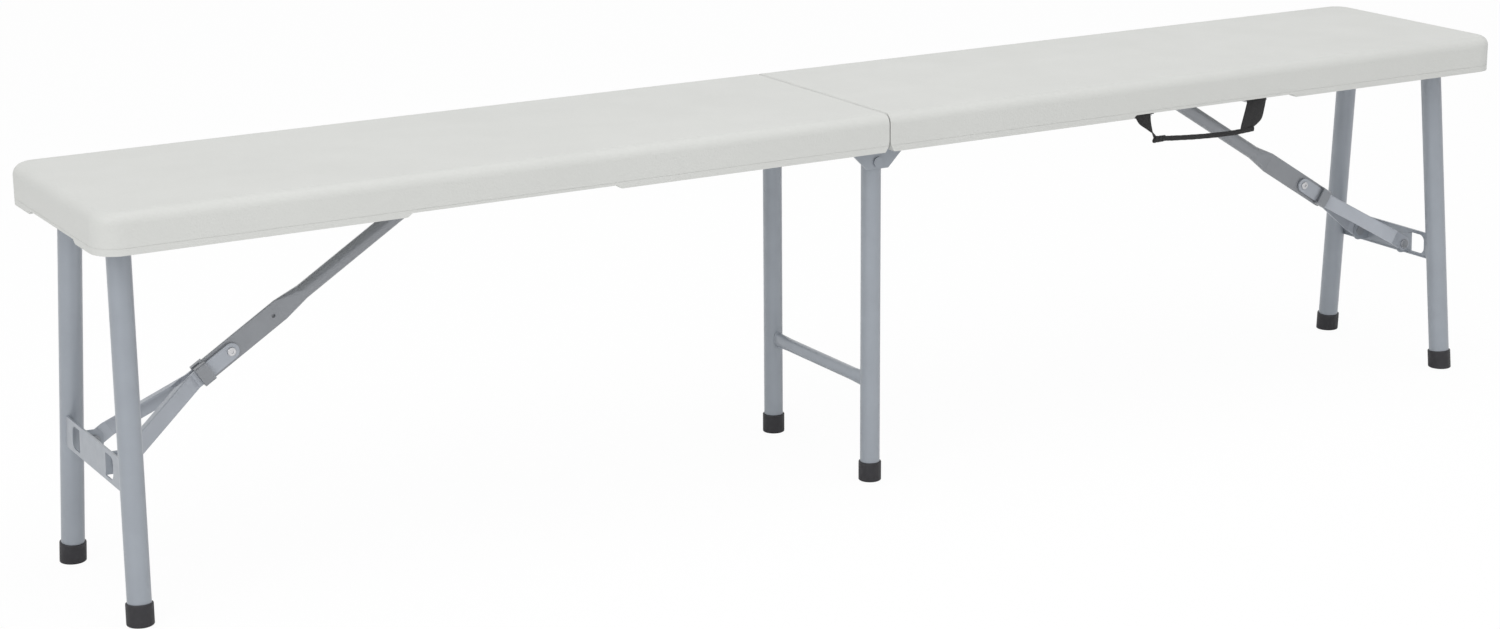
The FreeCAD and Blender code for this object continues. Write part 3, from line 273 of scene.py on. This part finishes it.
def webbing():
    """Black woven webbing: slanted ribs and a soft sheen."""
    paint = Paint("webbing_look", WEBBING_COLOUR, roughness=0.62)
    paint.shader.inputs["Sheen Weight"].default_value = 0.03
    paint.shader.inputs["Sheen Roughness"].default_value = 0.4
    weave = paint.add("ShaderNodeTexWave", wave_type="BANDS", bands_direction="DIAGONAL")
    weave.inputs["Scale"].default_value = 0.3 / WEBBING_RIB
    weave.inputs["Distortion"].default_value = 1.2
    weave.inputs["Detail Scale"].default_value = 2.0
    paint.join(paint.place, weave.inputs["Vector"])
    paint.vary_colour(weave.outputs["Fac"], low=0.7, high=1.5)
    paint.bump(weave.outputs["Fac"], depth=0.0004, strength=0.7)
    paint.bump(paint.noise(size=0.0008), depth=0.0002, strength=0.5)
    return paint.material


def dress(node_names, material):
    for name in node_names:
        data = nodes[name].data
        data.materials.clear()
        data.materials.append(material)


def dress_frame(looks):
    """Gives each node the look of its material slot in the record."""
    for part in frame["record"]["subparts"]:
        dress([part["node"]], looks[part["material_slot"]])


# Mesh helpers

def mesh_object(name, build, material, body):
    """An object from a function that fills a bmesh; it rides on the body."""
    data = bpy.data.meshes.new(name)
    work = bmesh.new()
    build(work)
    bmesh.ops.recalc_face_normals(work, faces=work.faces)
    work.to_mesh(data)
    work.free()
    for face in data.polygons:
        face.use_smooth = True
    piece = bpy.data.objects.new(name, data)
    bpy.context.scene.collection.objects.link(piece)
    data.materials.append(material)
    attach(piece, body)
    return piece


def skin_rings(work, rings, closed_ends=True):
    """Joins rings of points, each the same length, into a closed skin."""
    loops = [[work.verts.new(point) for point in ring] for ring in rings]
    count = len(loops[0])
    for first, second in zip(loops, loops[1:]):
        for i in range(count):
            j = (i + 1) % count
            work.faces.new((first[i], first[j], second[j], second[i]))
    if closed_ends:
        work.faces.new(reversed(loops[0]))
        work.faces.new(loops[-1])


def smooth_between(points, steps):
    """A smooth curve through the points, by Catmull and Rom's rule."""
    ends = [points[0] * 2 - points[1]] + list(points) + [points[-1] * 2 - points[-2]]
    curve = []
    for i in range(len(points) - 1):
        a, b, c, d = ends[i:i + 4]
        for step in range(steps):
            t = step / steps
            curve.append(0.5 * (2 * b + (c - a) * t + (2 * a - 5 * b + 4 * c - d) * t * t
                                + (3 * b - a - 3 * c + d) * t ** 3))
    return curve + [points[-1]]


def band(work, centres, halves, thickness):
    """A band of webbing: a row of centre points, each with its half width as a vector."""
    centre_line = smooth_between(centres, BAND_STEPS)
    half_line = smooth_between(halves, BAND_STEPS)
    face = [(-1, 1), (-BAND_SHOULDER, BAND_CROWN), (BAND_SHOULDER, BAND_CROWN), (1, 1)]
    rings = []
    for i, (centre, half) in enumerate(zip(centre_line, half_line)):
        ahead = centre_line[min(i + 1, len(centre_line) - 1)] - centre_line[max(i - 1, 0)]
        out = half.cross(ahead).normalized() * (thickness / 2)
        rim = half * BAND_RIM
        front = [centre + rim * across + out * rise for across, rise in face]
        back = [centre + rim * across - out * rise for across, rise in reversed(face)]
        rings.append([centre - half] + front + [centre + half] + back)
    skin_rings(work, rings)


# Handle

def handle_pieces(look):
    """The webbing: two hanging straps, the rolled grip, its bound turns and the two anchored ends."""
    left_low, left_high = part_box("handle_strap_left")
    right_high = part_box("handle_strap_right")[1]
    wrap_low, wrap_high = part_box("handle_wrap")
    y = (left_low.y + left_high.y) / 2
    top = left_high.z
    wrap_z = (wrap_low.z + wrap_high.z) / 2

    def left_strap(work):
        centres, halves = strap_from_edges(LEFT_STRAP_ROWS, left_low.x, y, top)
        centres.append(Vector((wrap_low.x + TWIST_ALONG, y, wrap_z + TWIST_RISE)))
        halves.append(Vector(TWIST_HALF))
        band(work, centres, halves, WEBBING_THICKNESS)

    def right_strap(work):
        centres, halves = strap_from_edges(RIGHT_STRAP_ROWS, right_high.x, y, top)
        band(work, centres, halves, WEBBING_THICKNESS)

    left = mesh_object("handle_webbing_left", left_strap, look, "handle")
    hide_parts("handle_strap_left")
    right = mesh_object("handle_webbing_right", right_strap, look, "handle")
    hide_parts("handle_strap_right")
    grip = mesh_object("handle_rolled_grip", lambda work: rolled_grip(work, y), look, "handle")
    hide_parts("handle_grip")
    wrap = mesh_object("handle_bound_turns", lambda work: bound_turns(work, y), look, "handle")
    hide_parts("handle_wrap")
    ends = mesh_object("handle_anchor_webbing", webbing_ends, look, "right_half")
    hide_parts("handle_webbing_ends")


def webbing_ends(work):
    """The two ends of the webbing, which lie flat on their anchor plates."""
    low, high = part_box("handle_webbing_ends")
    strap_low, strap_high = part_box("handle_strap_left")
    half = (strap_high.x - strap_low.x) / 2
    middle_z = (low.z + high.z) / 2
    for x in (low.x + half, high.x - half):
        line = [Vector((x, low.y + (high.y - low.y) * share, middle_z)) for share in ANCHOR_SHARES]
        band(work, line, [Vector((half, 0, 0))] * len(line), high.z - low.z)


def strap_from_edges(rows, x, y, top):
    """A strap's centre points and half widths, from rows of drop, left edge and right edge."""
    centres = [Vector((x + (left + right) / 2, y, top - drop)) for drop, left, right in rows]
    halves = [Vector(((right - left) / 2, STRAP_LEAN * i, 0)) for i, (drop, left, right) in enumerate(rows)]
    return centres, halves


def rolled_grip(work, y):
    """The webbing folded on itself and sewn: a flattened roll that sags, with a crease along its front."""
    low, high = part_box("handle_grip")
    start_z = high.z - GRIP_HALF_HEIGHT
    fall = low.z + GRIP_HALF_HEIGHT - start_z
    line = [Vector((low.x - GRIP_PAST_START, y, start_z + GRIP_START_RISE))]
    for along, fallen, sag in GRIP_STATIONS:
        line.append(Vector((low.x + (high.x - low.x) * along, y, start_z + fall * fallen - sag)))
    line.append(Vector((high.x + GRIP_PAST_END, y, start_z + fall + GRIP_END_RISE)))
    rings = []
    for i, centre in enumerate(smooth_between(line, GRIP_STEPS)):
        ripple = 1 + sum(height * math.sin(i * beat) for height, beat in RIPPLES)
        ring = []
        for k in range(GRIP_POINTS):
            turn = 2 * math.pi * k / GRIP_POINTS
            crease = 1 - CREASE_DEPTH * math.exp(-((math.sin(turn) - CREASE_PLACE) / CREASE_SPREAD) ** 2)
            ring.append(centre + Vector((0, math.cos(turn) * GRIP_HALF_DEPTH * crease * ripple,
                                         math.sin(turn) * GRIP_HALF_HEIGHT * ripple)))
        rings.append(ring)
    skin_rings(work, rings)


def bound_turns(work, y):
    """The slanted turns of webbing round the grip's end."""
    low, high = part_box("handle_wrap")
    middle_z = (low.z + high.z) / 2
    radius = (high.z - low.z) / 2 * TURN_RADIUS_SHARE
    width = (high.x - low.x) / TURNS
    for number in range(TURNS):
        start = low.x + width * number
        rings = []
        for share, swell in TURN_PROFILE:
            if share == TURN_MIDDLE:
                swell -= TURN_SHRINK * number
            ring = []
            for k in range(TURN_POINTS):
                turn = 2 * math.pi * k / TURN_POINTS
                slant = width * TURN_SLANT * math.sin(turn)
                ring.append(Vector((start + width * share + slant,
                                    y + math.cos(turn) * radius * swell * TURN_DEPTH_SHARE,
                                    middle_z + math.sin(turn) * radius * swell)))
            rings.append(ring)
        skin_rings(work, rings)


# Weld beads

def bead_ring(work, centre, normal, half_z):
    """A weld bead: an uneven ring of small scales round a joint that faces along Y."""
    rings = []
    for i in range(BEAD_COUNT):
        turn = 2 * math.pi * i / BEAD_COUNT
        thickness = BEAD_THICKNESS * (1 + BEAD_SWELL * math.sin(i * BEAD_BEAT))
        on_rim = centre + Vector((math.cos(turn) * BEAD_HALF_X, 0, math.sin(turn) * half_z))
        outward = Vector((math.cos(turn), 0, math.sin(turn)))
        ring = []
        for k in range(BEAD_POINTS):
            around = 2 * math.pi * k / BEAD_POINTS
            ring.append(on_rim + (outward * math.cos(around) + normal * math.sin(around)) * thickness)
        rings.append(ring)
    skin_rings(work, rings + rings[:1], closed_ends=False)


def stretcher_welds(look):
    """A bead round each end of the stretcher, where it meets its leg."""
    low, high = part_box("centre_stretcher")
    middle = (low + high) / 2
    half_z = (high.z - low.z) / 2
    for name, y, side in (("rear", high.y, 1), ("front", low.y, -1)):
        centre = Vector((middle.x, y - side * BEAD_SINK, middle.z))
        piece = mesh_object("stretcher_weld_" + name,
                            lambda work: bead_ring(work, centre, Vector((0, side, 0)), half_z),
                            look, "centre_frame")
        merge_doubles(piece)


def merge_doubles(piece):
    """Joins the bead's last ring to its first."""
    work = bmesh.new()
    work.from_mesh(piece.data)
    bmesh.ops.remove_doubles(work, verts=work.verts, dist=MERGE_DISTANCE)
    bmesh.ops.recalc_face_normals(work, faces=work.faces)
    work.to_mesh(piece.data)
    work.free()


# Light, floor and camera

def studio():
    """Soft light from all round, with large lamps at the front left, above and at the front right."""
    world = bpy.data.worlds.new("studio")
    bpy.context.scene.world = world
    world.use_nodes = True
    tree = world.node_tree
    background = tree.nodes["Background"]
    path = tree.nodes.new("ShaderNodeLightPath")
    seen = tree.nodes.new("ShaderNodeMath")
    seen.operation = "MAXIMUM"
    tree.links.new(path.outputs["Is Camera Ray"], seen.inputs[0])
    tree.links.new(path.outputs["Is Glossy Ray"], seen.inputs[1])
    level = tree.nodes.new("ShaderNodeMapRange")
    level.inputs["To Min"].default_value = WORLD_LEVEL
    level.inputs["To Max"].default_value = 1.0
    tree.links.new(seen.outputs["Value"], level.inputs["Value"])
    tree.links.new(level.outputs["Result"], background.inputs["Strength"])
    background.inputs["Color"].default_value = (1, 1, 1, 1)
    for name, place, size, watts in LAMPS:
        lamp(name, Vector(place), size, watts)


def lamp(name, place, size, watts):
    data = bpy.data.lights.new(name, "AREA")
    data.energy = watts
    data.size = size
    piece = bpy.data.objects.new(name, data)
    piece.location = place
    piece.rotation_euler = (LAMP_AIM - place).to_track_quat("-Z", "Y").to_euler()
    bpy.context.scene.collection.objects.link(piece)


def floor():
    """A wide pale floor that looks white to the camera and keeps a soft shadow."""
    data = bpy.data.meshes.new("floor")
    work = bmesh.new()
    bmesh.ops.create_circle(work, cap_ends=True, segments=FLOOR_SEGMENTS, radius=FLOOR_RADIUS)
    work.to_mesh(data)
    work.free()
    piece = bpy.data.objects.new("floor", data)
    piece.location.z = -FLOOR_DROP
    bpy.context.scene.collection.objects.link(piece)
    material = bpy.data.materials.new("floor_look")
    material.use_nodes = True
    tree = material.node_tree
    shader = tree.nodes["Principled BSDF"]
    shader.inputs["Base Color"].default_value = linear(FLOOR_COLOUR)
    shader.inputs["Roughness"].default_value = FLOOR_ROUGHNESS
    glow = tree.nodes.new("ShaderNodeEmission")
    glow.inputs["Strength"].default_value = 1.0
    path = tree.nodes.new("ShaderNodeLightPath")
    share = tree.nodes.new("ShaderNodeMath")
    share.operation = "MULTIPLY"
    share.inputs[1].default_value = FLOOR_GLOW_SHARE
    tree.links.new(path.outputs["Is Camera Ray"], share.inputs[0])
    mix = tree.nodes.new("ShaderNodeMixShader")
    tree.links.new(share.outputs["Value"], mix.inputs["Fac"])
    tree.links.new(shader.outputs["BSDF"], mix.inputs[1])
    tree.links.new(glow.outputs["Emission"], mix.inputs[2])
    tree.links.new(mix.outputs["Shader"], tree.nodes["Material Output"].inputs["Surface"])
    data.materials.append(material)


def camera():
    """The camera, turned by its yaw, pitch and roll, with the photograph's middle shifted."""
    data = bpy.data.cameras.new("camera")
    data.sensor_width = SENSOR_WIDTH
    data.lens = FOCAL_PIXELS / PHOTO_WIDTH * SENSOR_WIDTH
    data.shift_x = (PHOTO_WIDTH / 2 - CENTRE_PIXEL[0]) / PHOTO_WIDTH
    data.shift_y = (CENTRE_PIXEL[1] - PHOTO_HEIGHT / 2) / PHOTO_WIDTH
    forward = Vector((math.sin(CAMERA_YAW) * math.cos(CAMERA_PITCH),
                      math.cos(CAMERA_YAW) * math.cos(CAMERA_PITCH),
                      -math.sin(CAMERA_PITCH)))
    level_right = Vector((math.cos(CAMERA_YAW), -math.sin(CAMERA_YAW), 0))
    level_up = level_right.cross(forward)
    right = level_right * math.cos(CAMERA_ROLL) + level_up * math.sin(CAMERA_ROLL)
    up = level_up * math.cos(CAMERA_ROLL) - level_right * math.sin(CAMERA_ROLL)
    turn = Matrix((right, up, -forward)).transposed()
    piece = bpy.data.objects.new("camera", data)
    piece.matrix_world = Matrix.Translation(CAMERA_PLACE) @ turn.to_4x4()
    bpy.context.scene.collection.objects.link(piece)
    bpy.context.scene.camera = piece


def main():
    bpy.context.scene.view_settings.view_transform = "Standard"
    webbing_look = webbing()
    frame_look = powder_coat("frame_steel_look", FRAME_COLOUR)
    looks = {"seat_resin": seat_resin(),
             "frame_steel": frame_look,
             # brace tubes: frame steel painted darker, as painted shade
             "brace_steel": powder_coat("brace_tube_painted_shade_look", BRACE_TUBE_SHADED_COLOUR),
             "zinc_fasteners": zinc(),
             "bush_plastic": moulded_rubber("bush_look", BUSH_COLOUR, roughness=0.45),
             "foot_rubber": moulded_rubber("foot_rubber_look", CAP_COLOUR, roughness=0.55),
             "webbing": webbing_look}
    dress_frame(looks)
    # brace straps: the same steel painted lighter, as painted light
    dress(STRAP_NODES, powder_coat("brace_strap_painted_light_look", BRACE_STRAP_LIT_COLOUR))
    dress(["centre_bracket_rivets"], frame_look)
    handle_pieces(webbing_look)
    stretcher_welds(frame_look)
    studio()
    floor()
    camera()


main()
